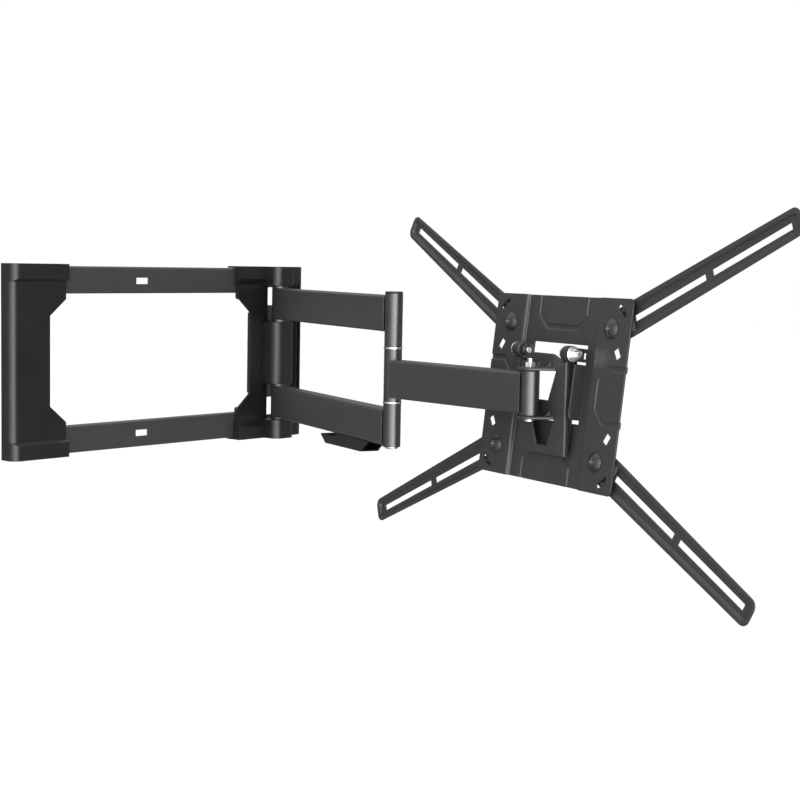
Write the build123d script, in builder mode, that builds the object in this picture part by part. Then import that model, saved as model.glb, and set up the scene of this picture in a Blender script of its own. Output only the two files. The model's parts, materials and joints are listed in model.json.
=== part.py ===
from build123d import *
from math import cos, radians, sin
import os

# A full motion wall mount for a television.  X runs right along the wall, Y runs into
# the wall and Z is up.  The origin is the centre of the wall frame, on the wall plane.

# ---- Pose at rest: headings in degrees, turned about Z ----
inner_arm_heading = -23.07      # from -Y, straight out of the wall, towards -X
forearm_heading = -8.45
screen_heading = -18.13         # from +X, the way the screen faces
screen_tilt = 6.82              # the top leans towards the screen side

# ---- Wall frame ----
frame_half_width = 232.5
frame_half_height = 111.2
steel_half_height = 108.8       # steelwork inside the covers
frame_depth = 13.0              # front of the rails, off the wall
rail_sheet = 2.0
rail_low, rail_high = 77.0, steel_half_height
rail_left, rail_right = -184.0, 150.0
rail_slot_x, rail_slot_length, rail_slot_width = -39.0, 18.4, 7.5
lag_spacing_x, lag_spacing_z = 406.0, 184.0
lag_hole_radius = 4.5
upright_outer = 229.0
bracket_sheet = 3.0
bend_radius = 3.0

# ---- Plastic covers ----
cover_wall = 2.2
recess_front = 18.5
chamfer_high, chamfer_low = 71.0, 52.0
band_corner_left, band_corner_right, recess_corner_left, recess_corner_right = 10.0, 18.0, 9.0, 8.0
left_band_front, left_slope_low, left_slope_high = 22.5, 91.0, 94.0
right_band_front, right_slope_low, right_slope_high = 24.5, 87.5, 95.0
opening_left, opening_right, opening_half_height = 166.5, 226.0, 87.5
cover_fit = 0.2                 # play round the steelwork

# ---- Wall hinge ----
hinge_x, hinge_y = 175.0, -32.0
pin_radius = 5.0
running_gap = 0.05              # radial play of a pin in its bush
fit_gap = 0.02                  # radial play of parts that do not turn on each other
lug_low, lug_high = 88.0, 91.0
lug_half_width, lug_front, lug_corner = 14.0, 43.0, 8.0
nose_half_width, nose_corner, nose_wall = 18.0, 11.0, 2.0
nose_front, centre_nose_front, centre_nose_half_height = 46.0, 45.0, 40.0
knuckle_half_height = 86.5

# ---- Arms ----
inner_arm_length, forearm_length = 341.0, 214.0
tube_radius, tube_bore = 10.0, 7.5
arm_width, arm_sheet, arm_corner = 23.0, 1.5, 3.0
inner_arm_height, forearm_height = 40.0, 42.0
tube_gap_wall, tube_gap_end = 6.6, 3.7      # from a hinge axis to the end of an arm tube
upper_arm_level = 63.5          # middle of the upper arm; the lower arm mirrors it
forearm_level = -8.7
elbow_top_low, elbow_top_high = 26.5, 86.0
elbow_bottom_low, elbow_bottom_high = -85.0, -36.2
elbow_middle_low, elbow_middle_high = -34.2, 24.5

# ---- Swivel head ----
head_tube_low, head_tube_high = -31.0, 13.5
bolt_radius = 3.0               # head bolt and tilt bolts
pivot_radius = 4.0              # arm pivot screws
web_front = 15.7                # from the head bolt's axis
web_half_width, web_bottom, web_top = 38.7, -71.0, 31.6
upper_tab_low, lower_tab_low = 14.5, -35.0
tilt_x, tilt_z = 17.6, 33.0     # tilt axis, from the head bolt's axis
flange_head_radius = 8.0
tab_tip, tab_corner = -11.0, 7.0

# ---- Screen plate ----
plate_stand_off, plate_drop = 14.0, -37.0   # from the tilt axis to the plate's middle
plate_half_width, plate_half_height, plate_corner = 114.0, 96.0, 5.0
plate_sheet = 2.0
column_half_width, column_depth, column_slope, column_bend = 61.5, 4.7, 1.2, 2.2
window_half_width, window_low, window_high = 45.5, -32.0, 47.5
groove_width, ridge_width, bead_depth, bead_taper = 6.0, 7.9, 1.3, 40.0
screw_a, screw_b = 85.2, 65.6   # arm pivots, across and up from the plate's middle

# ---- Screen arms ----
swing_arm_setback = 3.1         # behind the plate's wall side face
swing_arm_angle = 24.5          # from the horizontal
swing_arm_sheet, tray_depth, tray_slope = 2.0, 2.9, 32.0
swing_arm_length = 255.5
root_half_width, tip_half_width = 17.5, 13.5
rim_width = 4.5
swing_slots = ((29.0, 130.4), (140.0, 241.4))
swing_slot_width = 6.4
stop_radius, stop_angle = 23.3, 54.5    # stop pip, from the pivot
stop_half_span, stop_slot_width, stop_pip_radius = 20.0, 5.0, 1.9

# ---- Frames of the moving assemblies ----


def turned_plane(origin, angle):
    """Level plane whose x direction is turned by an angle from +X."""
    direction = Vector(cos(radians(angle)), sin(radians(angle)), 0)
    return Plane(origin=origin, x_dir=direction, z_dir=(0, 0, 1))


def along(plane, x=0.0, y=0.0, z=0.0):
    """World point of a point that is given in a plane's own axes."""
    return plane.origin + plane.x_dir * x + plane.y_dir * y + plane.z_dir * z


inner_plane = turned_plane((hinge_x, hinge_y, 0), inner_arm_heading - 90)
forearm_plane = turned_plane(along(inner_plane, x=inner_arm_length), forearm_heading - 90)
head_plane = turned_plane(along(forearm_plane, x=forearm_length), screen_heading)
hinge_plane = Plane(origin=(hinge_x, hinge_y, 0))

across = head_plane.y_dir * -1
tilt_point = along(head_plane, x=tilt_x, z=tilt_z)
to_screen = head_plane.x_dir * cos(radians(screen_tilt)) - head_plane.z_dir * sin(radians(screen_tilt))
up_plate = head_plane.x_dir * sin(radians(screen_tilt)) + head_plane.z_dir * cos(radians(screen_tilt))
plate_middle = tilt_point + to_screen * plate_stand_off + up_plate * plate_drop
plate_face = Plane(origin=plate_middle, x_dir=across, z_dir=to_screen * -1)
web_face = Plane(origin=along(head_plane, x=web_front), x_dir=across, z_dir=head_plane.x_dir * -1)
tilt_right = Plane(origin=tilt_point, x_dir=(0, 0, 1), z_dir=across)
tilt_left = Plane(origin=tilt_point, x_dir=(0, 0, 1), z_dir=across * -1)

# ---- Shapes that repeat ----


def rings(planes, spans, outer, inner):
    """Sleeves or washers on the axes of some planes; each span is a low and a high level."""
    with BuildPart() as piece:
        for plane in planes:
            for low, high in spans:
                with BuildSketch(plane.offset(low)):
                    Circle(outer)
                    Circle(inner, mode=Mode.SUBTRACT)
                extrude(amount=high - low)
    return piece


def hex_nuts(planes, low, high, flats, bore):
    """Hexagon nuts, one on each plane's axis; a bore of zero makes a bolt's head."""
    with BuildPart() as piece:
        for plane in planes:
            with BuildSketch(plane.offset(low)):
                RegularPolygon(flats / 2, 6, major_radius=False)
                if bore > 0:
                    Circle(bore, mode=Mode.SUBTRACT)
            extrude(amount=high - low)
    return piece


def arm_tube(plane, start, end, level, height, joint_distance):
    """Rectangular arm tube, notched at both ends to fit round the hinge tubes."""
    section = Plane(origin=along(plane, x=start, z=level), x_dir=plane.y_dir, z_dir=plane.x_dir)
    with BuildPart() as piece:
        with BuildSketch(section):
            RectangleRounded(arm_width, height, arm_corner)
            RectangleRounded(arm_width - 2 * arm_sheet, height - 2 * arm_sheet,
                             arm_corner - arm_sheet, mode=Mode.SUBTRACT)
        extrude(amount=end - start)
        with BuildSketch(plane.offset(level - height)):
            with Locations((0, 0), (joint_distance, 0)):
                Circle(tube_radius)
        extrude(amount=2 * height, mode=Mode.SUBTRACT)
    return piece


def wall_box(x_low, x_high, y_low, y_high, z_low, z_high):
    """Cutting block between two corners, square to the wall."""
    size = (x_high - x_low, y_high - y_low, z_high - z_low)
    middle = ((x_low + x_high) / 2, (y_low + y_high) / 2, (z_low + z_high) / 2)
    return Pos(*middle) * Box(*size, mode=Mode.PRIVATE)


def shell_plan(side, edge, inner_x, front, corner):
    """Plan of a cover between its outer edge and an inner x, with the inner front corner rounded."""
    with BuildSketch() as plan:
        with BuildLine():
            Polyline((side * edge, 0), (inner_x, 0), (inner_x, -front), (side * edge, -front),
                     (side * edge, 0))
        make_face()
        fillet(plan.vertices().sort_by(Axis.Y)[:2].sort_by(Axis.X)[-1 if side > 0 else 0], corner)
    return plan.sketch


def cover_block(shape, inset):
    """Outside of an end cover when inset is 0, or its hollow when inset is the wall."""
    side, narrow, wide, recess_corner, band_x, band_front, band_corner, slope_low, slope_high = shape
    edge = frame_half_width - inset
    half_height = frame_half_height - inset
    wide_edge = wide + inset * side
    narrow_edge = narrow + inset * side
    with BuildPart() as block:
        with BuildSketch(Plane.XY.offset(-half_height)):
            add(shell_plan(side, edge, wide, recess_front - inset, recess_corner - inset))
        extrude(amount=2 * half_height)
        with BuildSketch(Plane.XZ):
            with BuildLine():
                Polyline((side * edge, -half_height), (wide_edge, -half_height),
                         (wide_edge, inset - chamfer_high), (narrow_edge, inset - chamfer_low),
                         (narrow_edge, chamfer_low - inset), (wide_edge, chamfer_high - inset),
                         (wide_edge, half_height), (side * edge, half_height), (side * edge, -half_height))
            make_face()
        extrude(amount=recess_front, mode=Mode.INTERSECT)
        slope_front = inset - 2 * band_front + recess_front
        for end in (-1, 1):
            with BuildSketch(Plane.XY.offset(end * (slope_low + inset))):
                add(shell_plan(side, edge, band_x + inset * side, band_front - inset, band_corner - inset))
            extrude(amount=end * (half_height - slope_low - inset))
            with BuildSketch(Plane.YZ.offset(-frame_half_width)):
                with BuildLine():
                    Polyline((inset - recess_front, end * (slope_low + inset)),
                             (slope_front, end * (2 * slope_high - slope_low + inset)),
                             (slope_front, end * (slope_low + inset)),
                             (inset - recess_front, end * (slope_low + inset)))
                make_face()
            extrude(amount=2 * frame_half_width, mode=Mode.SUBTRACT)
    return block.part


def nose_outline(front, back, inset):
    """Plan outline of the hinge nose, with rounded front corners."""
    half_width = nose_half_width - inset
    with BuildSketch() as outline:
        with BuildLine():
            Polyline((hinge_x - half_width, back), (hinge_x + half_width, back),
                     (hinge_x + half_width, inset - front), (hinge_x - half_width, inset - front),
                     (hinge_x - half_width, back))
        make_face()
        fillet(outline.vertices().sort_by(Axis.Y)[:2], nose_corner - inset)
    return outline.sketch


# ---- Wall frame: two rails between two uprights ----

with BuildPart() as wall_rail_top:
    with BuildSketch(Plane.YZ.offset(rail_left)):
        with Locations((-frame_depth / 2, (rail_low + rail_high) / 2)):
            Rectangle(frame_depth, rail_high - rail_low)
        fillet(vertices().sort_by(Axis.X)[:2], bend_radius)
        with Locations((rail_sheet - frame_depth / 2, (rail_low + rail_high) / 2)):
            Rectangle(frame_depth, rail_high - rail_low - 2 * rail_sheet, mode=Mode.SUBTRACT)
    extrude(amount=rail_right - rail_left)
    with BuildSketch(Plane.XZ):
        with Locations((rail_slot_x, lag_spacing_z / 2)):
            Rectangle(rail_slot_length, rail_slot_width)
    extrude(amount=frame_depth, mode=Mode.SUBTRACT)

with BuildPart() as wall_rail_bottom:
    mirror(wall_rail_top.part, about=Plane.XY)

with BuildPart() as left_upright:
    with BuildSketch(Plane.XY.offset(-steel_half_height)):
        with Locations((-(upright_outer - rail_left) / 2, -frame_depth / 2)):
            Rectangle(upright_outer + rail_left, frame_depth)
        with Locations((-(upright_outer - rail_left) / 2, -frame_depth / 2 - rail_sheet)):
            Rectangle(upright_outer + rail_left - 2 * rail_sheet, frame_depth, mode=Mode.SUBTRACT)
    extrude(amount=2 * steel_half_height)
    with BuildSketch(Plane.XZ):
        with Locations((-lag_spacing_x / 2, lag_spacing_z / 2), (-lag_spacing_x / 2, -lag_spacing_z / 2)):
            Circle(lag_hole_radius)
    extrude(amount=frame_depth, mode=Mode.SUBTRACT)

# Hinge bracket: the right upright, with two lugs that carry the hinge pin.
window_middle, window_width = 198.0, 36.0
window_low_z, window_high_z, window_corner = 60.5, 84.0, 4.0
bracket_half_height = 108.0
with BuildPart() as hinge_bracket:
    with BuildSketch(Plane.XY.offset(-bracket_half_height)):
        with Locations(((rail_right + upright_outer) / 2, -frame_depth / 2)):
            Rectangle(upright_outer - rail_right, frame_depth)
        with Locations(((rail_right + upright_outer) / 2, -frame_depth / 2 - bracket_sheet)):
            Rectangle(upright_outer - rail_right - 2 * bracket_sheet, frame_depth, mode=Mode.SUBTRACT)
    extrude(amount=2 * bracket_half_height)
    with BuildSketch(Plane.XZ):
        with Locations((window_middle, (window_low_z + window_high_z) / 2),
                       (window_middle, -(window_low_z + window_high_z) / 2)):
            RectangleRounded(window_width, window_high_z - window_low_z, window_corner)
        with Locations((lag_spacing_x / 2, lag_spacing_z / 2), (lag_spacing_x / 2, -lag_spacing_z / 2)):
            Circle(lag_hole_radius)
    extrude(amount=frame_depth, mode=Mode.SUBTRACT)
    for level in (lug_low, -lug_high):
        with BuildSketch(Plane.XY.offset(level)) as lug:
            with Locations((hinge_x, -lug_front / 2)):
                Rectangle(2 * lug_half_width, lug_front)
            fillet(lug.vertices().sort_by(Axis.Y)[:2], lug_corner)
            with Locations((hinge_x, hinge_y)):
                Circle(pin_radius + fit_gap, mode=Mode.SUBTRACT)
        extrude(amount=lug_high - lug_low)

# ---- Plastic covers ----

left_narrow_x, left_wide_x, left_band_x = -179.0, -156.5, -155.0        # inner edges of the covers
right_narrow_x, right_wide_x, right_band_x = 136.0, 114.0, 112.5
left_shape = (-1, left_narrow_x, left_wide_x, recess_corner_left, left_band_x, left_band_front,
              band_corner_left, left_slope_low, left_slope_high)
right_shape = (1, right_narrow_x, right_wide_x, recess_corner_right, right_band_x, right_band_front,
               band_corner_right, right_slope_low, right_slope_high)
left_cover_end, right_cover_end = -150.0, 110.0
rails_fit = steel_half_height + cover_fit

with BuildPart() as left_cover:
    add(cover_block(left_shape, 0))
    add(cover_block(left_shape, cover_wall), mode=Mode.SUBTRACT)
    add(wall_box(rail_left - 1, left_cover_end, -frame_depth, 1, -rails_fit, rails_fit), mode=Mode.SUBTRACT)

lug_opening_half_width, lug_opening_low, lug_opening_high = 15.0, 87.0, 106.0
with BuildPart() as right_cover:
    add(cover_block(right_shape, 0))
    add(cover_block(right_shape, cover_wall), mode=Mode.SUBTRACT)
    add(wall_box(right_cover_end, rail_right, -frame_depth, 1, -rails_fit, rails_fit), mode=Mode.SUBTRACT)
    add(wall_box(opening_left, opening_right, -lug_front, -frame_depth, -opening_half_height,
                 opening_half_height), mode=Mode.SUBTRACT)
    for low, high in ((lug_opening_low, lug_opening_high), (-lug_opening_high, -lug_opening_low)):
        add(wall_box(hinge_x - lug_opening_half_width, hinge_x + lug_opening_half_width, -lug_front,
                     -frame_depth, low, high), mode=Mode.SUBTRACT)

# Nose of the hinge: a cap over each lug and a cover round the middle of the knuckle.
cap_low = 87.0
with BuildPart() as hinge_top_cap:
    with BuildSketch(Plane.XY.offset(cap_low)):
        add(nose_outline(nose_front, -recess_front, 0))
    extrude(amount=frame_half_height - cap_low)
    with BuildSketch(Plane.XY.offset(cap_low)):
        add(nose_outline(nose_front, -recess_front, nose_wall))
    extrude(amount=frame_half_height - cap_low - nose_wall, mode=Mode.SUBTRACT)
    add(cover_block(right_shape, 0), mode=Mode.SUBTRACT)

with BuildPart() as hinge_bottom_cap:
    mirror(hinge_top_cap.part, about=Plane.XY)

knuckle_clearance = 0.8
with BuildPart() as hinge_center_cover:
    with BuildSketch(Plane.XY.offset(-centre_nose_half_height)):
        add(nose_outline(centre_nose_front, -recess_front, 0))
        with Locations((hinge_x + nose_half_width - nose_wall / 2, -(recess_front + bracket_sheet) / 2)):
            Rectangle(nose_wall, recess_front - bracket_sheet)
    extrude(amount=2 * centre_nose_half_height)
    with BuildSketch(Plane.XY.offset(nose_wall - centre_nose_half_height)):
        add(nose_outline(centre_nose_front, 0, nose_wall))
    extrude(amount=2 * (centre_nose_half_height - nose_wall), mode=Mode.SUBTRACT)
    with BuildSketch(Plane.XY.offset(-centre_nose_half_height)):
        with Locations((hinge_x, hinge_y)):
            Circle(tube_radius + knuckle_clearance)
    extrude(amount=2 * centre_nose_half_height, mode=Mode.SUBTRACT)

# ---- Hinge pin, nut and washers ----

pin_head_height, pin_end, nut_height, m10_flats = 6.4, 102.0, 8.0, 17.0
with BuildPart() as hinge_pin:
    with BuildSketch(hinge_plane.offset(-lug_high)):
        Circle(pin_radius)
    extrude(amount=lug_high + pin_end)
    with BuildSketch(hinge_plane.offset(-lug_high - pin_head_height)):
        RegularPolygon(m10_flats / 2, 6, major_radius=False)
    extrude(amount=pin_head_height)

hinge_nut = hex_nuts([hinge_plane], lug_high, lug_high + nut_height, m10_flats, pin_radius + fit_gap)
hinge_washer_radius, end_play = 9.5, 0.1
washer_low = knuckle_half_height + end_play
hinge_washers = rings([hinge_plane], [(washer_low, lug_low), (-lug_low, -washer_low)],
                      hinge_washer_radius, pin_radius + fit_gap)

# ---- Inner arm ----

bush_low = 60.0
sleeve_top_high, sleeve_bottom_low = 50.0, -60.0
elbow_washer_radius, elbow_pin_low, elbow_pin_length = 10.6, -70.0, 130.0
hinge_tube = rings([inner_plane], [(-knuckle_half_height, knuckle_half_height)], tube_radius, tube_bore)
hinge_bushes = rings([inner_plane], [(bush_low, knuckle_half_height), (-knuckle_half_height, -bush_low)],
                     tube_bore, pin_radius + running_gap)
upper_arm = arm_tube(inner_plane, tube_gap_wall, inner_arm_length - tube_gap_end, upper_arm_level,
                     inner_arm_height, inner_arm_length)
lower_arm = arm_tube(inner_plane, tube_gap_wall, inner_arm_length - tube_gap_end, -upper_arm_level,
                     inner_arm_height, inner_arm_length)
elbow_top_tube = rings([forearm_plane], [(elbow_top_low, elbow_top_high)], tube_radius, tube_bore)
elbow_bottom_tube = rings([forearm_plane], [(elbow_bottom_low, elbow_bottom_high)], tube_radius, tube_bore)
elbow_sleeves = rings([forearm_plane],
                      [(elbow_top_low, sleeve_top_high), (sleeve_bottom_low, elbow_bottom_high)],
                      tube_bore, pin_radius + fit_gap)
elbow_washers = rings([forearm_plane],
                      [(elbow_middle_high, elbow_top_low), (elbow_bottom_high, elbow_middle_low)],
                      elbow_washer_radius, pin_radius + fit_gap)

with BuildPart() as elbow_pin:
    with BuildSketch(forearm_plane.offset(elbow_pin_low)):
        Circle(pin_radius)
    extrude(amount=elbow_pin_length)

cap_plug_depth = 6.0


def tube_cap(plane, outward, radius, height, round_edge):
    """Plug that closes the end of a hinge tube, with a rounded rim outside."""
    end = Plane(origin=plane.origin, x_dir=plane.x_dir, z_dir=plane.z_dir * outward)
    with BuildPart() as cap:
        with BuildSketch(end):
            Circle(radius)
        extrude(amount=height)
        fillet(cap.faces().sort_by(Axis(end.origin, end.z_dir))[-1].edges(), round_edge)
        with BuildSketch(end):
            Circle(tube_bore)
        extrude(amount=-cap_plug_depth)
    return cap


elbow_top_cap = tube_cap(forearm_plane.offset(elbow_top_high), 1, tube_radius, 2.0, 1.0)
elbow_bottom_cap = tube_cap(forearm_plane.offset(elbow_bottom_low), -1, tube_bore, 2.2, 1.8)

# Cable clip: an open plastic trough under the lower arm, measured from the elbow.
# Its front end is open and its back end leaves a gap under the arm, for the cables.
clip_top, clip_wall = -83.2, 1.6
clip_outline = ((121, clip_top), (122.5, -87.0), (175, -87.7), (160, -98.2), (58, -97.0), (38, clip_top))
clip_hollow = ((172, -80), (172, -88.6), (159.3, -96.6), (56, -95.4), (20, -95.4), (20, -80))
clip_side = Plane(origin=along(forearm_plane), x_dir=inner_plane.x_dir * -1, z_dir=inner_plane.y_dir)
with BuildPart() as cable_clip:
    with BuildSketch(clip_side):
        with BuildLine():
            Polyline(*clip_outline, clip_outline[0])
        make_face()
    extrude(amount=arm_width / 2, both=True)
    with BuildSketch(clip_side):
        with BuildLine():
            Polyline(*clip_hollow, clip_hollow[0])
        make_face()
    extrude(amount=arm_width / 2 - clip_wall, both=True, mode=Mode.SUBTRACT)

# ---- Forearm ----

forearm_tube = arm_tube(forearm_plane, tube_gap_wall, forearm_length - tube_gap_end, forearm_level,
                        forearm_height, forearm_length)
elbow_middle_tube = rings([forearm_plane], [(elbow_middle_low, elbow_middle_high)], tube_radius, tube_bore)
elbow_bush_length, head_bush_length = 20.0, 15.0
elbow_bushes = rings([forearm_plane], [(elbow_middle_high - elbow_bush_length, elbow_middle_high),
                                       (elbow_middle_low, elbow_middle_low + elbow_bush_length)],
                     tube_bore, pin_radius + running_gap)
head_tube = rings([head_plane], [(head_tube_low, head_tube_high)], tube_radius, tube_bore)
head_bushes = rings([head_plane], [(head_tube_high - head_bush_length, head_tube_high),
                                   (head_tube_low, head_tube_low + head_bush_length)],
                    tube_bore, bolt_radius + running_gap)

# ---- Swivel head ----

flange_foot, flange_back, flange_shoulder = 20.8, 27.0, -28.0
flange_outline = ((web_front, web_bottom), (flange_foot, web_bottom), (flange_back, flange_shoulder),
                  (flange_back, tilt_z), (web_front, tilt_z), (web_front, web_bottom))
upper_tab_root, upper_tab_tip, lower_tab_root, lower_tab_tip = 22.0, 9.0, 20.0, 8.5
upper_relief_low, upper_relief_tip, lower_relief_low, lower_relief_tip = -16.0, 9.5, -62.0, 9.0
shoulder_level, shoulder_half_width, flange_bend = 23.0, 17.0, 2.4
rib_places, rib_size, rib_sheet, rib_root = (5.2, -12.3), 5.0, 2.0, 1.0
with BuildPart() as swivel_bracket:
    with BuildSketch(web_face):
        with BuildLine():
            Polyline((-web_half_width, web_bottom), (web_half_width, web_bottom),
                     (web_half_width, shoulder_level), (shoulder_half_width, web_top),
                     (-shoulder_half_width, web_top), (-web_half_width, shoulder_level),
                     (-web_half_width, web_bottom))
        make_face()
        # The tabs are bent out of these two openings.
        for level, root, low, tip in ((upper_tab_low, upper_tab_root, upper_relief_low, upper_relief_tip),
                                      (lower_tab_low, lower_tab_root, lower_relief_low, lower_relief_tip)):
            with BuildLine():
                Polyline((-root, level), (root, level), (tip, low), (-tip, low), (-root, level))
            make_face(mode=Mode.SUBTRACT)
    extrude(amount=-bracket_sheet)
    for level, root, tip in ((upper_tab_low, upper_tab_root, upper_tab_tip),
                             (lower_tab_low, lower_tab_root, lower_tab_tip)):
        with BuildSketch(head_plane.offset(level)) as tab:
            with BuildLine():
                Polyline((web_front + bracket_sheet, -root), (web_front + bracket_sheet, root),
                         (tab_tip, tip), (tab_tip, -tip), (web_front + bracket_sheet, -root))
            make_face()
            fillet(tab.vertices().sort_by(Axis.X)[:2], tab_corner)
            Circle(bolt_radius + fit_gap, mode=Mode.SUBTRACT)
        extrude(amount=bracket_sheet)
        for place in rib_places:
            rib_face = Plane(origin=along(head_plane, x=web_front, y=place, z=level + bracket_sheet),
                             x_dir=head_plane.x_dir * -1, z_dir=head_plane.y_dir)
            with BuildSketch(rib_face):
                with BuildLine():
                    Polyline((-rib_root, -rib_root), (rib_size, -rib_root), (rib_size, 0), (0, rib_size),
                             (-rib_root, rib_size), (-rib_root, -rib_root))
                make_face()
            extrude(amount=rib_sheet / 2, both=True)
    for side in (-1, 1):
        inner_face = Plane(origin=along(head_plane, y=-side * (web_half_width - bracket_sheet)),
                           x_dir=head_plane.x_dir, z_dir=head_plane.y_dir)
        with BuildSketch(inner_face) as flange:
            with BuildLine():
                Polyline(*[(x, -z) for x, z in flange_outline])
            make_face()
            with Locations((tilt_x, -tilt_z)):
                Circle(flange_head_radius)
                Circle(bolt_radius + fit_gap, mode=Mode.SUBTRACT)
        extrude(amount=-side * bracket_sheet)
    # The flanges are bent from the web, so their outer corners are round.
    upright_edges = swivel_bracket.edges().filter_by(Axis(head_plane.origin, head_plane.z_dir))
    corners = [along(head_plane, x=web_front, y=side * web_half_width) for side in (-1, 1)]
    bends = [edge for edge in upright_edges for corner in corners
             if Axis(corner, head_plane.z_dir).is_coaxial(Axis(edge), 1e-3, 1e-3)]
    fillet(bends, flange_bend)

m6_flats, m6_head, m6_nut = 10.0, 4.0, 5.0
head_bolt_end, head_washer_radius, low_head_radius, low_head_height = 26.5, 9.8, 5.5, 2.4
with BuildPart() as head_bolt:
    with BuildSketch(head_plane.offset(lower_tab_low)):
        Circle(bolt_radius)
    extrude(amount=head_bolt_end - lower_tab_low)
    with BuildSketch(head_plane.offset(lower_tab_low - low_head_height)):
        Circle(low_head_radius)
    extrude(amount=low_head_height)

head_nut = hex_nuts([head_plane], upper_tab_low + bracket_sheet, upper_tab_low + bracket_sheet + m6_nut,
                    m6_flats, bolt_radius + fit_gap)
head_washers = rings([head_plane],
                     [(head_tube_high, upper_tab_low), (lower_tab_low + bracket_sheet, head_tube_low)],
                     head_washer_radius, bolt_radius + fit_gap)

# ---- Tilt joint: both bolts point the same way, across the plate ----

tilt_disc_radius = 8.3
tilt_washer_radius, tilt_washer_thickness, thread_past_nut = 7.8, 1.2, 4.5
ear_inner, ear_outer = window_half_width, window_half_width + plate_sheet
flange_inner = web_half_width - bracket_sheet
washer_face = ear_outer + tilt_washer_thickness


def tilt_bolt(plane, head_face, outward, thread_end):
    """Hexagon bolt across one flange; its head stands on a face and its thread runs the other way."""
    with BuildPart() as bolt:
        with BuildSketch(plane.offset(head_face)):
            RegularPolygon(m6_flats / 2, 6, major_radius=False)
        extrude(amount=-outward * m6_head)
        with BuildSketch(plane.offset(head_face)):
            Circle(bolt_radius)
        extrude(amount=thread_end - head_face)
    return bolt


both_sides = [tilt_right, tilt_left]
tilt_bolt_right = tilt_bolt(tilt_right, flange_inner, 1, washer_face + m6_nut + thread_past_nut)
tilt_bolt_left = tilt_bolt(tilt_left, washer_face, -1, flange_inner - m6_nut - thread_past_nut)
tilt_discs = rings(both_sides, [(web_half_width, ear_inner)], tilt_disc_radius, bolt_radius + fit_gap)
tilt_washers = rings(both_sides, [(ear_outer, washer_face)], tilt_washer_radius, bolt_radius + fit_gap)
tilt_nut_right = hex_nuts([tilt_right], washer_face, washer_face + m6_nut, m6_flats, bolt_radius + fit_gap)
tilt_nut_left = hex_nuts([tilt_left], flange_inner - m6_nut, flange_inner, m6_flats, bolt_radius + fit_gap)

# ---- Screen plate: one pressed sheet, with two ears that turn on the tilt bolts ----

corner_signs = [(1, 1), (-1, 1), (-1, -1), (1, -1)]
bead_column_x, bead_column_turn, bead_column_low = 40.0, 26.0, 64.0
bead_side_high, bead_side_x, bead_side_turn, bead_side_mid = 27.0, 88.0, 76.0, 14.0
bead_bend, bead_run_off, bead_corner = 12.0, 8.0, 5.0
slot_a, slot_b, slot_length, slot_height, slot_turn = 98.0, 41.7, 10.7, 7.5, 57.0
ear_middle, ear_tip_radius, ear_strap_low, ear_strap_high = 37.0, 6.8, 30.2, 43.8
ear_front, ear_chamfer, ear_low, ear_high = 10.0, 3.0, -28.0, 27.7
ear_slot_start, ear_slot_end, ear_slot_height, ear_slot_middle = 1.6, 9.8, 6.4, 38.0
ear_gap_start, ear_gap_end, ear_gap_low, ear_gap_high = -3.5, -0.3, 33.5, 39.5
cut_start, cut_depth = 2.0, 14.0
top_edge = Plane(origin=along(plate_face, y=plate_half_height), x_dir=plate_face.x_dir,
                 z_dir=plate_face.y_dir * -1)
slope_top = column_half_width + column_slope


def column_bead(sign_b, width):
    """Plan of a stiffening bead at the top or the bottom of the plate's column."""
    end = sign_b * (plate_half_height + bead_run_off)
    high = sign_b * (bead_column_low + bead_bend)
    low = sign_b * bead_column_low
    with BuildSketch() as plan:
        with BuildLine():
            FilletPolyline((-bead_column_x, end), (-bead_column_x, high), (-bead_column_turn, low),
                           (bead_column_turn, low), (bead_column_x, high), (bead_column_x, end),
                           radius=bead_corner)
        trace(line_width=width)
    return plan.sketch


def side_bead(sign_a, width):
    """Plan of a stiffening bead at one side of the plate."""
    end = sign_a * (plate_half_width + bead_run_off)
    with BuildSketch() as plan:
        with BuildLine():
            FilletPolyline((end, bead_side_high), (sign_a * bead_side_x, bead_side_high),
                           (sign_a * bead_side_turn, bead_side_mid),
                           (sign_a * bead_side_turn, -bead_side_mid),
                           (sign_a * bead_side_x, -bead_side_high), (end, -bead_side_high),
                           radius=bead_corner)
        trace(line_width=width)
    return plan.sketch


def beads(width, lift):
    """Sloped strips along all four beads, which start a sheet's lift behind the plate's faces."""
    with BuildPart() as strips:
        for sign in (-1, 1):
            with BuildSketch(plate_face.offset(-column_depth - lift)):
                add(column_bead(sign, width))
            extrude(amount=-bead_depth, taper=bead_taper)
            with BuildSketch(plate_face.offset(-lift)):
                add(side_bead(sign, width))
            extrude(amount=-bead_depth, taper=bead_taper)
    return strips.part


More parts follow.
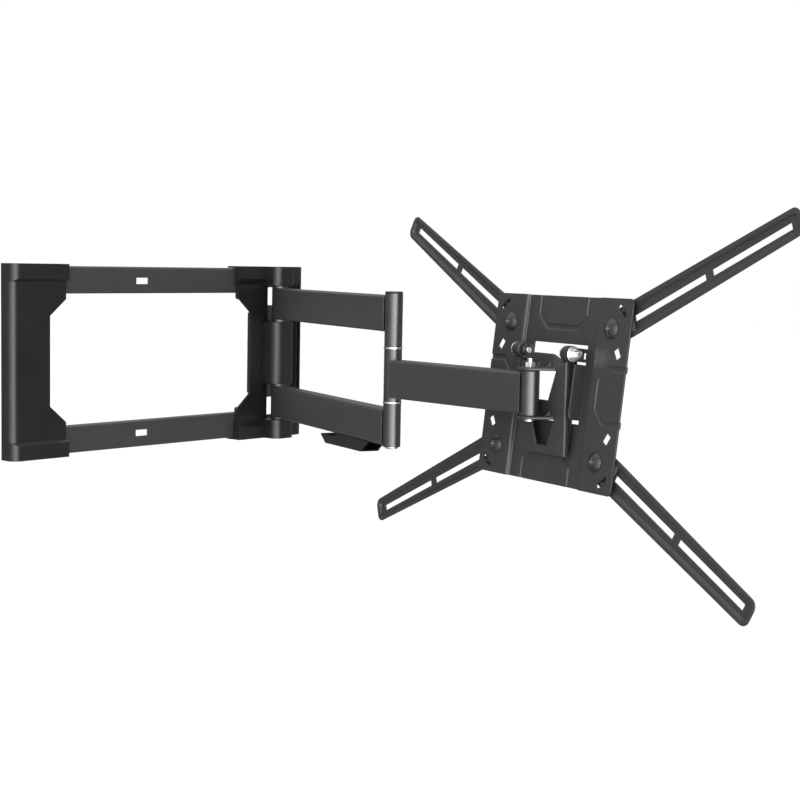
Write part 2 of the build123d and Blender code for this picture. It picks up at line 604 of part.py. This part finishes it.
half_sheet = plate_sheet / 2
with BuildPart() as vesa_plate:
    with BuildSketch(top_edge):
        with BuildLine():
            FilletPolyline((-plate_half_width, -half_sheet), (-slope_top, -half_sheet),
                           (-column_half_width, -column_depth - half_sheet),
                           (column_half_width, -column_depth - half_sheet), (slope_top, -half_sheet),
                           (plate_half_width, -half_sheet), radius=column_bend)
        trace(line_width=plate_sheet)
    extrude(amount=2 * plate_half_height)
    add(beads(ridge_width, plate_sheet))
    with BuildSketch(plate_face.offset(cut_start)):
        RectangleRounded(2 * plate_half_width, 2 * plate_half_height, plate_corner)
    extrude(amount=-cut_depth, mode=Mode.INTERSECT)
    add(beads(groove_width, 0), mode=Mode.SUBTRACT)
    # Window, arm pivots, stop slots and small fixing slots.
    with BuildSketch(plate_face.offset(cut_start)):
        with Locations((0, (window_low + window_high) / 2)):
            Rectangle(2 * window_half_width, window_high - window_low)
        for sign_a, sign_b in corner_signs:
            with Locations((sign_a * screw_a, sign_b * screw_b)):
                Circle(pivot_radius + fit_gap)
            with Locations(Location((sign_a * slot_a, sign_b * slot_b), -sign_a * sign_b * slot_turn)):
                Rectangle(slot_length, slot_height)
    extrude(amount=-cut_depth, mode=Mode.SUBTRACT)
    with BuildSketch(plate_face.offset(cut_start)):
        for sign_a, sign_b in corner_signs:
            middle_angle = 90 - sign_a * 90 + sign_a * sign_b * stop_angle
            with BuildLine():
                CenterArc((sign_a * screw_a, sign_b * screw_b), stop_radius, middle_angle - stop_half_span,
                          2 * stop_half_span)
        trace(line_width=stop_slot_width)
    extrude(amount=-cut_depth, mode=Mode.SUBTRACT)
    # Ears, bent towards the wall at the sides of the window.
    ear_root = -column_depth - plate_sheet
    for side in (-1, 1):
        ear_plane = Plane(origin=along(plate_face, x=side * ear_inner), x_dir=plate_face.z_dir,
                          z_dir=plate_face.x_dir * side)
        up = -side
        with BuildSketch(ear_plane):
            with BuildLine():
                Polyline((ear_root, up * ear_low), (ear_front - ear_chamfer, up * ear_low),
                         (ear_front, up * (ear_low + ear_chamfer)), (ear_front, up * ear_high),
                         (ear_root, up * ear_high), (ear_root, up * ear_low))
            make_face()
            with Locations(((ear_root + plate_stand_off) / 2, up * ear_middle)):
                Rectangle(plate_stand_off - ear_root, ear_strap_high - ear_strap_low)
            with Locations((plate_stand_off, up * ear_middle)):
                Circle(ear_tip_radius)
                Circle(bolt_radius + running_gap, mode=Mode.SUBTRACT)
            with Locations(((ear_slot_start + ear_slot_end) / 2, up * ear_slot_middle)):
                SlotOverall(ear_slot_end - ear_slot_start, ear_slot_height, mode=Mode.SUBTRACT)
            with Locations(((ear_gap_start + ear_gap_end) / 2, up * (ear_gap_low + ear_gap_high) / 2)):
                Rectangle(ear_gap_end - ear_gap_start, ear_gap_high - ear_gap_low, mode=Mode.SUBTRACT)
        extrude(amount=plate_sheet)

# ---- Arm pivots ----

pivots = [along(plate_face, x=a * screw_a, y=b * screw_b) for a, b in corner_signs]
pivot_planes = [Plane(origin=pivot, x_dir=plate_face.x_dir, z_dir=plate_face.z_dir) for pivot in pivots]
arm_nut_height, pivot_flats, arm_washer_radius, nut_play = 2.9, 13.0, 9.5, 0.05
arm_back = -swing_arm_setback - swing_arm_sheet
arm_washers = rings(pivot_planes, [(-swing_arm_setback, -plate_sheet)],
                    arm_washer_radius, pivot_radius + fit_gap)
arm_nuts = hex_nuts(pivot_planes, arm_back - arm_nut_height, arm_back - nut_play, pivot_flats,
                    pivot_radius + fit_gap)

dome_radius, dome_height, dome_rim = 10.0, 5.5, 0.6
dome_shoulder_radius, dome_shoulder_height = 6.2, 3.9
recess_length, recess_width, recess_depth = 7.0, 2.0, 2.2
screw_end = arm_back - arm_nut_height
with BuildPart() as arm_screws:
    for pivot in pivots:
        with BuildSketch(Plane(origin=pivot, x_dir=plate_face.x_dir, z_dir=plate_face.y_dir * -1)):
            with BuildLine():
                ThreePointArc((0, dome_height), (dome_shoulder_radius, dome_shoulder_height),
                              (dome_radius, dome_rim))
                Polyline((dome_radius, dome_rim), (dome_radius, 0), (pivot_radius, 0),
                         (pivot_radius, screw_end), (0, screw_end), (0, dome_height))
            make_face()
        revolve(axis=Axis(pivot, plate_face.z_dir))
        with BuildSketch(Plane(origin=pivot + plate_face.z_dir * (dome_height + 1), x_dir=plate_face.x_dir,
                               z_dir=plate_face.z_dir)):
            Rectangle(recess_length, recess_width)
            Rectangle(recess_width, recess_length)
        extrude(amount=-recess_depth - 1, mode=Mode.SUBTRACT)

# ---- Screen arms: pressed trays with two slots each ----

root_end, tray_start, tip_corner, tray_corner = 30.0, 21.0, 8.5, 5.0
pip_recess = 0.6                # stop pips end this far inside the plate's sheet


def swing_arm(sign_a, sign_b):
    """One arm, which reaches out from its corner pivot; local x runs along the arm."""
    angle = radians(swing_arm_angle)
    direction = plate_face.x_dir * (sign_a * cos(angle)) + plate_face.y_dir * (sign_b * sin(angle))
    pivot = along(plate_face, x=sign_a * screw_a, y=sign_b * screw_b, z=-swing_arm_setback)
    face = Plane(origin=pivot, x_dir=direction, z_dir=plate_face.z_dir)
    stop_side = radians(stop_angle - swing_arm_angle) * sign_a * sign_b
    with BuildPart() as arm:
        with BuildSketch(face) as outline:
            with BuildLine():
                Polyline((0, root_half_width), (root_end, root_half_width),
                         (swing_arm_length, tip_half_width), (swing_arm_length, -tip_half_width),
                         (root_end, -root_half_width), (0, -root_half_width), (0, root_half_width))
            make_face()
            fillet(outline.vertices().sort_by(Axis.X)[-2:], tip_corner)
            Circle(root_half_width)
        extrude(amount=-swing_arm_sheet)
        for rim, depth, operation in ((rim_width - swing_arm_sheet, tray_depth + swing_arm_sheet, Mode.ADD),
                                      (rim_width, tray_depth, Mode.SUBTRACT)):
            with BuildSketch(face) as tray:
                with BuildLine():
                    Polyline((tray_start + rim, root_half_width - rim), (root_end, root_half_width - rim),
                             (swing_arm_length - rim, tip_half_width - rim),
                             (swing_arm_length - rim, rim - tip_half_width),
                             (root_end, rim - root_half_width), (tray_start + rim, rim - root_half_width),
                             (tray_start + rim, root_half_width - rim))
                make_face()
                fillet(tray.vertices().sort_by(Axis.X)[-2:], tray_corner)
            extrude(amount=-depth, taper=tray_slope, mode=operation)
        with BuildSketch(face):
            for start, end in swing_slots:
                with Locations(((start + end) / 2, 0)):
                    Rectangle(end - start, swing_slot_width)
            Circle(pivot_radius + running_gap)
        extrude(amount=-2 * tray_depth, mode=Mode.SUBTRACT)
        with BuildSketch(face.offset(-swing_arm_sheet)):
            with Locations((stop_radius * cos(stop_side), stop_radius * sin(stop_side))):
                Circle(stop_pip_radius)
        extrude(amount=swing_arm_sheet + swing_arm_setback - pip_recess)
    return arm


# ---- Finished pieces ----

pieces = {
    "wall_rail_top": wall_rail_top,
    "wall_rail_bottom": wall_rail_bottom,
    "left_upright": left_upright,
    "hinge_bracket": hinge_bracket,
    "left_cover": left_cover,
    "right_cover": right_cover,
    "hinge_top_cap": hinge_top_cap,
    "hinge_bottom_cap": hinge_bottom_cap,
    "hinge_center_cover": hinge_center_cover,
    "hinge_pin": hinge_pin,
    "hinge_nut": hinge_nut,
    "hinge_washers": hinge_washers,
    "hinge_tube": hinge_tube,
    "hinge_bushes": hinge_bushes,
    "upper_arm": upper_arm,
    "lower_arm": lower_arm,
    "elbow_top_tube": elbow_top_tube,
    "elbow_bottom_tube": elbow_bottom_tube,
    "elbow_sleeves": elbow_sleeves,
    "elbow_washers": elbow_washers,
    "elbow_pin": elbow_pin,
    "elbow_top_cap": elbow_top_cap,
    "elbow_bottom_cap": elbow_bottom_cap,
    "cable_clip": cable_clip,
    "forearm_tube": forearm_tube,
    "elbow_middle_tube": elbow_middle_tube,
    "elbow_bushes": elbow_bushes,
    "head_tube": head_tube,
    "head_bushes": head_bushes,
    "swivel_bracket": swivel_bracket,
    "head_bolt": head_bolt,
    "head_nut": head_nut,
    "head_washers": head_washers,
    "tilt_bolt_right": tilt_bolt_right,
    "tilt_bolt_left": tilt_bolt_left,
    "tilt_nut_right": tilt_nut_right,
    "tilt_nut_left": tilt_nut_left,
    "tilt_discs": tilt_discs,
    "tilt_washers": tilt_washers,
    "vesa_plate": vesa_plate,
    "arm_screws": arm_screws,
    "arm_washers": arm_washers,
    "arm_nuts": arm_nuts,
    "vesa_arm_upper_right": swing_arm(1, 1),
    "vesa_arm_upper_left": swing_arm(-1, 1),
    "vesa_arm_lower_left": swing_arm(-1, -1),
    "vesa_arm_lower_right": swing_arm(1, -1),
}

os.makedirs("parts", exist_ok=True)
for name, piece in pieces.items():
    piece.part.label = name
    export_step(piece.part, f"parts/{name}.step")
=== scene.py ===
import json
import math

import bpy
from mathutils import Matrix, Vector


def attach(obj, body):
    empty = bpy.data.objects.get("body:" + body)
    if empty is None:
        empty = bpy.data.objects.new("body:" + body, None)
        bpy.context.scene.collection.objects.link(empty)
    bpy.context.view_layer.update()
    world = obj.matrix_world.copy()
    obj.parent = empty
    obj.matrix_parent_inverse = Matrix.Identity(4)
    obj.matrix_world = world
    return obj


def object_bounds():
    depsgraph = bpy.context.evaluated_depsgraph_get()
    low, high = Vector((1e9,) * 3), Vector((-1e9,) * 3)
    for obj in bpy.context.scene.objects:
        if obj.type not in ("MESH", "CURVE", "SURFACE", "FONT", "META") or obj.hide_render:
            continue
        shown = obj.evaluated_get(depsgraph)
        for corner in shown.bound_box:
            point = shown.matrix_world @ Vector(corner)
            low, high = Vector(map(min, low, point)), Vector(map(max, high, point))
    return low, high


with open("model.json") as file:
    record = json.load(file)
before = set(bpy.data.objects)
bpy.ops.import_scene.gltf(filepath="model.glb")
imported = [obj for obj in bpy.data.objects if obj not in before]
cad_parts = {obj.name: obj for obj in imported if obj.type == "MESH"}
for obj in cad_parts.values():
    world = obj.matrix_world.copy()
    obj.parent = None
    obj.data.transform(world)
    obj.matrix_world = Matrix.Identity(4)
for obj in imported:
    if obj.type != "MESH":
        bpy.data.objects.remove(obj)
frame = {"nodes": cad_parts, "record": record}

# A full motion wall mount for a television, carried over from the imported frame.
# Lengths are metres.  X runs right along the wall, Y into the wall, Z up.

cad_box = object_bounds()
nodes = frame["nodes"]

# ---- Camera ----

camera_place = Vector((-1.2996, -1.5155, 0.1225))
camera_heading = math.radians(49.18)    # from +Y towards +X
camera_pitch = math.radians(-4.98)
camera_roll = math.radians(1.08)
camera_lens = 72.1
camera_sensor = 36.0
camera_clip_end = 50.0


def make_camera():
    """Camera at the viewing angle; its three axes are built from heading, pitch and roll."""
    forward = Vector((
        math.sin(camera_heading) * math.cos(camera_pitch),
        math.cos(camera_heading) * math.cos(camera_pitch),
        math.sin(camera_pitch),
    ))
    level_right = Vector((math.cos(camera_heading), -math.sin(camera_heading), 0.0))
    level_up = level_right.cross(forward)
    right = level_right * math.cos(camera_roll) + level_up * math.sin(camera_roll)
    up = level_up * math.cos(camera_roll) - level_right * math.sin(camera_roll)
    data = bpy.data.cameras.new("camera")
    data.lens = camera_lens
    data.sensor_width = camera_sensor
    data.clip_end = camera_clip_end
    camera = bpy.data.objects.new("camera", data)
    camera.matrix_world = Matrix((
        (right.x, up.x, -forward.x, camera_place.x),
        (right.y, up.y, -forward.y, camera_place.y),
        (right.z, up.z, -forward.z, camera_place.z),
        (0.0, 0.0, 0.0, 1.0),
    ))
    bpy.context.scene.collection.objects.link(camera)
    bpy.context.scene.camera = camera
    return right, up, forward


view_right, view_up, view_forward = make_camera()

# ---- Light and floor ----


def aim(light, target):
    """Turns a lamp so that it shines at a target."""
    light.rotation_euler = (target - light.location).to_track_quat("-Z", "Y").to_euler()


def area_light(name, place, width, height, power, target):
    """Rectangular soft box."""
    data = bpy.data.lights.new(name, "AREA")
    data.shape = "RECTANGLE"
    data.size = width
    data.size_y = height
    data.energy = power
    light = bpy.data.objects.new(name, data)
    light.location = place
    bpy.context.scene.collection.objects.link(light)
    aim(light, target)


fill_strength = 1.1         # even light that soft paint and the floor see
mirror_low, mirror_high = 0.22, 0.50    # what shiny faces reflect, behind the object and before it
mirror_above = 1.0          # and what they reflect straight above it
above_start, above_full = 0.25, 0.8     # sines of the angle above level where that comes in
screen_strength = 6.6       # the tall white screen beside the camera, as shiny faces reflect it
screen_edge_far, screen_edge_near = -0.2, 0.1       # where the screen ends, along the view
# How bright the screen is, by the sine of the angle to the camera's right.
screen_profile = (
    (-1.0, 0.03),
    (-0.75, 0.08),
    (-0.40, 0.34),
    (0.0, 0.72),
    (0.36, 1.0),
    (0.60, 0.75),
    (0.82, 0.08),
    (1.0, 0.0),
)
screen_top_fade = 0.25, 0.55        # sines of the angle above level where it fades out
screen_foot_fade = 0.45, 0.85       # and of the angle below level
white = (1.0, 1.0, 1.0, 1.0)
range_sockets = ("From Min", "From Max", "To Min", "To Max")


class World:
    """The surround's node tree, with short ways to add its nodes."""

    def __init__(self):
        self.world = bpy.data.worlds.new("studio")
        self.world.use_nodes = True
        self.tree = self.world.node_tree
        self.direction = self.tree.nodes.new("ShaderNodeTexCoord").outputs["Generated"]

    def link(self, source, target):
        self.tree.links.new(source, target)

    def along(self, axis):
        """How far a direction points along an axis, from -1 to 1."""
        node = self.tree.nodes.new("ShaderNodeVectorMath")
        node.operation = "DOT_PRODUCT"
        node.inputs[1].default_value = axis
        self.link(self.direction, node.inputs[0])
        return node.outputs["Value"]

    def remap(self, value, low, high, to_low, to_high):
        node = self.tree.nodes.new("ShaderNodeMapRange")
        for socket, number in zip(range_sockets, (low, high, to_low, to_high)):
            node.inputs[socket].default_value = number
        self.link(value, node.inputs["Value"])
        return node.outputs["Result"]

    def math(self, operation, *values):
        node = self.tree.nodes.new("ShaderNodeMath")
        node.operation = operation
        for value, socket in zip(values, node.inputs):
            if isinstance(value, float):
                socket.default_value = value
            else:
                self.link(value, socket)
        return node.outputs["Value"]

    def profile(self, value, points):
        """Brightness from a list of (value between -1 and 1, brightness) points."""
        node = self.tree.nodes.new("ShaderNodeValToRGB")
        stops = node.color_ramp.elements
        while len(stops) < len(points):
            stops.new(0.5)
        for stop, (place, bright) in zip(stops, points):
            stop.position = (place + 1.0) / 2.0
            stop.color = (bright, bright, bright, 1.0)
        self.link(self.remap(value, -1.0, 1.0, 0.0, 1.0), node.inputs["Fac"])
        return node.outputs["Color"]

    def background(self, strength):
        node = self.tree.nodes.new("ShaderNodeBackground")
        node.inputs["Color"].default_value = white
        if isinstance(strength, float):
            node.inputs["Strength"].default_value = strength
        else:
            self.link(strength, node.inputs["Strength"])
        return node.outputs["Background"]

    def choose(self, switch, otherwise, chosen):
        node = self.tree.nodes.new("ShaderNodeMixShader")
        for value, socket in zip((switch, otherwise, chosen), node.inputs):
            self.link(value, socket)
        return node.outputs["Shader"]


def make_surround():
    """White surround.  Shiny faces see it darker, with one tall screen beside the camera."""
    surround = World()
    forward = surround.along(view_forward)
    mirror = surround.remap(forward, -1.0, 1.0, mirror_high, mirror_low)
    screen = surround.profile(surround.along(view_right), screen_profile)
    height = surround.along(view_up)
    above = surround.remap(height, above_start, above_full, 0.0, mirror_above)
    top = surround.remap(height, *screen_top_fade, 1.0, 0.0)
    foot = surround.remap(surround.math("MULTIPLY", height, -1.0), *screen_foot_fade, 1.0, 0.0)
    tall = surround.math("MULTIPLY", top, foot)
    before = surround.remap(forward, screen_edge_far, screen_edge_near, screen_strength, 0.0)
    screen = surround.math("MULTIPLY", surround.math("MULTIPLY", screen, tall), before)
    ray = surround.tree.nodes.new("ShaderNodeLightPath")
    mirrored = surround.background(surround.math("ADD", surround.math("ADD", mirror, above), screen))
    lit = surround.choose(ray.outputs["Is Glossy Ray"], surround.background(fill_strength), mirrored)
    seen = surround.choose(ray.outputs["Is Camera Ray"], lit, surround.background(1.0))
    surround.link(seen, surround.tree.nodes["World Output"].inputs["Surface"])
    bpy.context.scene.world = surround.world
    bpy.context.scene.view_settings.view_transform = "Standard"


make_surround()
elbow = Vector((0.0414, -0.3457, 0.0))          # both lamps aim at the elbow
key_place, key_size, key_power = Vector((-1.3, -0.9, 0.5)), 0.8, 1.5
top_place, top_size, top_power = Vector((0.0, -0.2, 1.9)), 1.2, 3.0
area_light("key", elbow + key_place, key_size, key_size, key_power, elbow)
area_light("top", elbow + top_place, top_size, top_size, top_power, elbow)

floor_drop = 0.35
floor_half = 14.0
floor_color = (0.93, 0.93, 0.93, 1.0)
floor_roughness = 0.9


def make_floor():
    """Plain pale floor below the mount."""
    level = min(corner[2] for corner in cad_box) - floor_drop
    mesh = bpy.data.meshes.new("floor")
    corners = [(x * floor_half, y * floor_half, level) for x, y in ((-1, -1), (1, -1), (1, 1), (-1, 1))]
    mesh.from_pydata(corners, [], [(0, 1, 2, 3)])
    floor = bpy.data.objects.new("floor", mesh)
    bpy.context.scene.collection.objects.link(floor)
    material = bpy.data.materials.new("floor")
    material.use_nodes = True
    shader = material.node_tree.nodes["Principled BSDF"]
    shader.inputs["Base Color"].default_value = floor_color
    shader.inputs["Roughness"].default_value = floor_roughness
    mesh.materials.append(material)
    floor.visible_glossy = False


make_floor()

# ---- Materials ----


class Shader:
    """A material's node tree, with short ways to add the nodes that these finishes share."""

    def __init__(self, name, roughness, metallic=0.0, coat=0.0, coat_roughness=0.1, specular=0.5):
        self.material = bpy.data.materials.new(name)
        self.material.use_nodes = True
        self.tree = self.material.node_tree
        self.surface = self.tree.nodes["Principled BSDF"]
        self.surface.inputs["Roughness"].default_value = roughness
        self.surface.inputs["Metallic"].default_value = metallic
        self.surface.inputs["Coat Weight"].default_value = coat
        self.surface.inputs["Coat Roughness"].default_value = coat_roughness
        self.surface.inputs["Specular IOR Level"].default_value = specular
        self.place = self.tree.nodes.new("ShaderNodeTexCoord").outputs["Object"]

    def link(self, source, target):
        self.tree.links.new(source, target)

    def noise(self, scale, detail=3.0, roughness=0.5, stretch=None):
        """Noise value over the object, finer with a higher scale (cells per metre)."""
        node = self.tree.nodes.new("ShaderNodeTexNoise")
        node.inputs["Scale"].default_value = scale
        node.inputs["Detail"].default_value = detail
        node.inputs["Roughness"].default_value = roughness
        source = self.place
        if stretch:
            mapping = self.tree.nodes.new("ShaderNodeMapping")
            mapping.inputs["Scale"].default_value = stretch
            self.link(self.place, mapping.inputs["Vector"])
            source = mapping.outputs["Vector"]
        self.link(source, node.inputs["Vector"])
        return node.outputs["Fac"]

    def ramp(self, value, low, high, low_color, high_color):
        """Colours a value between two stops."""
        node = self.tree.nodes.new("ShaderNodeValToRGB")
        node.color_ramp.elements[0].position = low
        node.color_ramp.elements[0].color = (*low_color, 1.0)
        node.color_ramp.elements[1].position = high
        node.color_ramp.elements[1].color = (*high_color, 1.0)
        self.link(value, node.inputs["Fac"])
        return node.outputs["Color"]

    def remap(self, value, low, high, to_low, to_high):
        """Value stretched from one range to another and held inside it."""
        node = self.tree.nodes.new("ShaderNodeMapRange")
        for socket, number in zip(range_sockets, (low, high, to_low, to_high)):
            node.inputs[socket].default_value = number
        self.link(value, node.inputs["Value"])
        return node.outputs["Result"]

    def bump(self, height, distance, strength=1.0):
        node = self.tree.nodes.new("ShaderNodeBump")
        node.inputs["Distance"].default_value = distance
        node.inputs["Strength"].default_value = strength
        self.link(height, node.inputs["Height"])
        self.link(node.outputs["Normal"], self.surface.inputs["Normal"])


noise_range = 0.3, 0.7          # most of a noise's values lie between these
cloud_range = 0.35, 0.65        # narrower, for a stronger cloudiness
coat_spread = 0.05              # how far the powder coat's roughness goes either way


def powder_coat(name, dark, light, roughness):
    """Textured powder coat: a fine orange peel, slight cloudiness."""
    shader = Shader(name, roughness, specular=0.5)
    cloud = shader.noise(scale=35.0, detail=2.0)
    color = shader.ramp(cloud, *cloud_range, dark, light)
    shader.link(color, shader.surface.inputs["Base Color"])
    peel = shader.noise(scale=1400.0, detail=2.0, roughness=0.45)
    shader.link(shader.remap(peel, *noise_range, roughness - coat_spread, roughness + coat_spread),
                shader.surface.inputs["Roughness"])
    shader.bump(peel, distance=0.00006, strength=0.25)
    return shader.material


def satin_tube():
    """Smoother satin coat of the turned hinge tubes, with faint turning marks round them."""
    shader = Shader("tube_satin", 0.27, coat=0.2, coat_roughness=0.22, specular=0.8)
    cloud = shader.noise(scale=50.0, detail=2.0)
    color = shader.ramp(cloud, *cloud_range, (0.016, 0.0155, 0.0155), (0.022, 0.0215, 0.0215))
    shader.link(color, shader.surface.inputs["Base Color"])
    turning = shader.noise(scale=90.0, detail=3.0, roughness=0.6, stretch=(1.0, 1.0, 40.0))
    shader.link(shader.remap(turning, *noise_range, 0.26, 0.32), shader.surface.inputs["Roughness"])
    shader.bump(turning, distance=0.00001, strength=0.15)
    return shader.material


def moulded_plastic():
    """Black moulded plastic with a fine spark texture and a soft gloss."""
    shader = Shader("cover_plastic", 0.32, coat=0.1, coat_roughness=0.2, specular=0.35)
    cloud = shader.noise(scale=25.0, detail=2.0)
    color = shader.ramp(cloud, *noise_range, (0.0085, 0.0085, 0.009), (0.0125, 0.0125, 0.013))
    shader.link(color, shader.surface.inputs["Base Color"])
    grain = shader.noise(scale=2600.0, detail=2.0, roughness=0.5)
    shader.link(shader.remap(grain, *noise_range, 0.28, 0.42), shader.surface.inputs["Roughness"])
    shader.bump(grain, distance=0.00006, strength=0.35)
    return shader.material


def black_steel():
    """Blackened steel of the arm screws and the left tilt nut."""
    shader = Shader("black_steel", 0.35, specular=0.6)
    cloud = shader.noise(scale=150.0, detail=2.0)
    color = shader.ramp(cloud, *noise_range, (0.012, 0.012, 0.012), (0.022, 0.022, 0.022))
    shader.link(color, shader.surface.inputs["Base Color"])
    grain = shader.noise(scale=1800.0, detail=2.0)
    shader.link(shader.remap(grain, *noise_range, 0.3, 0.42), shader.surface.inputs["Roughness"])
    shader.bump(grain, distance=0.00005, strength=0.4)
    return shader.material


def zinc_plate():
    """Bright zinc plate with soft streaks."""
    shader = Shader("zinc_steel", 0.26, metallic=1.0)
    cloud = shader.noise(scale=180.0, detail=3.0)
    shader.link(shader.ramp(cloud, *noise_range, (0.56, 0.56, 0.55), (0.78, 0.78, 0.77)),
                shader.surface.inputs["Base Color"])
    streak = shader.noise(scale=700.0, detail=3.0, roughness=0.6, stretch=(1.0, 1.0, 6.0))
    shader.link(shader.remap(streak, *noise_range, 0.18, 0.36), shader.surface.inputs["Roughness"])
    shader.bump(streak, distance=0.00003, strength=0.4)
    return shader.material


def nylon():
    """Dark nylon of the bushes, sleeves, friction discs and most of the washers."""
    shader = Shader("bearing_plastic", 0.5)
    cloud = shader.noise(scale=160.0, detail=2.0)
    shader.link(shader.ramp(cloud, *noise_range, (0.014, 0.014, 0.014), (0.024, 0.024, 0.024)),
                shader.surface.inputs["Base Color"])
    grain = shader.noise(scale=2200.0, detail=2.0)
    shader.link(shader.remap(grain, *noise_range, 0.42, 0.6), shader.surface.inputs["Roughness"])
    shader.bump(grain, distance=0.00006, strength=0.4)
    return shader.material


finishes = {
    "powder_coat": powder_coat("powder_coat", (0.038, 0.0355, 0.0365), (0.042, 0.0395, 0.0405), 0.40),
    "tube_satin": satin_tube(),
    "cover_plastic": moulded_plastic(),
    "zinc_steel": zinc_plate(),
    "black_steel": black_steel(),
    "bearing_plastic": nylon(),
}

# ---- Finish the carried-over nodes ----

edge_round = {
    "powder_coat": 0.0004,
    "tube_satin": 0.0005,
    "cover_plastic": 0.0008,
    "zinc_steel": 0.0003,
    "black_steel": 0.0003,
    "bearing_plastic": 0.0003,
}
# Bent and pressed sheet: wider rounding, kept at its full width along short edges too.
bent_edge_round = {
    "swivel_bracket": 0.0010,
    "vesa_plate": 0.0004,
    "vesa_arm_upper_right": 0.0007,
    "vesa_arm_upper_left": 0.0007,
    "vesa_arm_lower_left": 0.0007,
    "vesa_arm_lower_right": 0.0007,
}
weld_distance = 0.000002
flat_angle = math.radians(1.0)
sharp_angle = math.radians(28.0)
round_segments = 2
face_weight = 100


def soften_edges(piece, width, keep_width):
    """Rounds the sharp edges, as paint and moulding do, and shades the rest smoothly."""
    weld = piece.modifiers.new("weld", "WELD")
    weld.merge_threshold = weld_distance
    merge = piece.modifiers.new("merge", "DECIMATE")
    merge.decimate_type = "DISSOLVE"
    merge.angle_limit = flat_angle
    bevel = piece.modifiers.new("edges", "BEVEL")
    bevel.width = width
    bevel.segments = round_segments
    bevel.use_clamp_overlap = not keep_width
    bevel.limit_method = "ANGLE"
    bevel.angle_limit = sharp_angle
    weighted = piece.modifiers.new("flat_faces", "WEIGHTED_NORMAL")
    weighted.keep_sharp = True
    weighted.weight = face_weight


for entry in frame["record"]["subparts"]:
    piece = nodes[entry["node"]]
    slot_name = entry["material_slot"]
    piece.data.materials.clear()
    piece.data.materials.append(finishes[slot_name])
    bent = entry["node"] in bent_edge_round
    soften_edges(piece, bent_edge_round[entry["node"]] if bent else edge_round[slot_name], bent)

# ---- Cross recesses in the arm pivot screws ----

recess_half_length, recess_half_width = 0.0034, 0.0009
recess_floor, recess_top = 0.0034, 0.0047      # above the plate's wall side face
pivot_depth = 0.0041                            # from that face back to the arm joints' points


def cross_outline():
    """Corners of an upright cross, counter-clockwise."""
    long, wide = recess_half_length, recess_half_width
    quarter = ((wide, wide), (wide, long), (-wide, long))
    corners = []
    for turn in range(4):
        for x, y in quarter:
            for _ in range(turn):
                x, y = -y, x
            corners.append((x, y))
    return corners


def recess_insert(name, middle, across, upward, outward):
    """Bright bottom of one screw's cross recess, as a low cross-shaped prism."""
    outline = cross_outline()
    count = len(outline)
    points = [middle + across * x + upward * y + outward * level
              for level in (recess_floor, recess_top) for x, y in outline]
    faces = [tuple(reversed(range(count))), tuple(range(count, 2 * count))]
    faces += [(i, (i + 1) % count, count + (i + 1) % count, count + i) for i in range(count)]
    mesh = bpy.data.meshes.new(name)
    mesh.from_pydata(points, [], faces)
    mesh.materials.append(finishes["zinc_steel"])
    insert = bpy.data.objects.new(name, mesh)
    bpy.context.scene.collection.objects.link(insert)
    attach(insert, "screen_plate")


joints = {joint["name"]: joint for joint in frame["record"]["behaviour"]["joints"]}
plate_across = Vector(joints["screen_tilt"]["axis"])
plate_outward = -Vector(joints["upper_right_swing"]["axis"])
plate_upward = plate_outward.cross(plate_across)
for corner in ("upper_right", "upper_left", "lower_left", "lower_right"):
    pivot = Vector(joints[corner + "_swing"]["pos_m"]) + plate_outward * pivot_depth
    recess_insert("screw_recess_" + corner, pivot, plate_across, plate_upward, plate_outward)
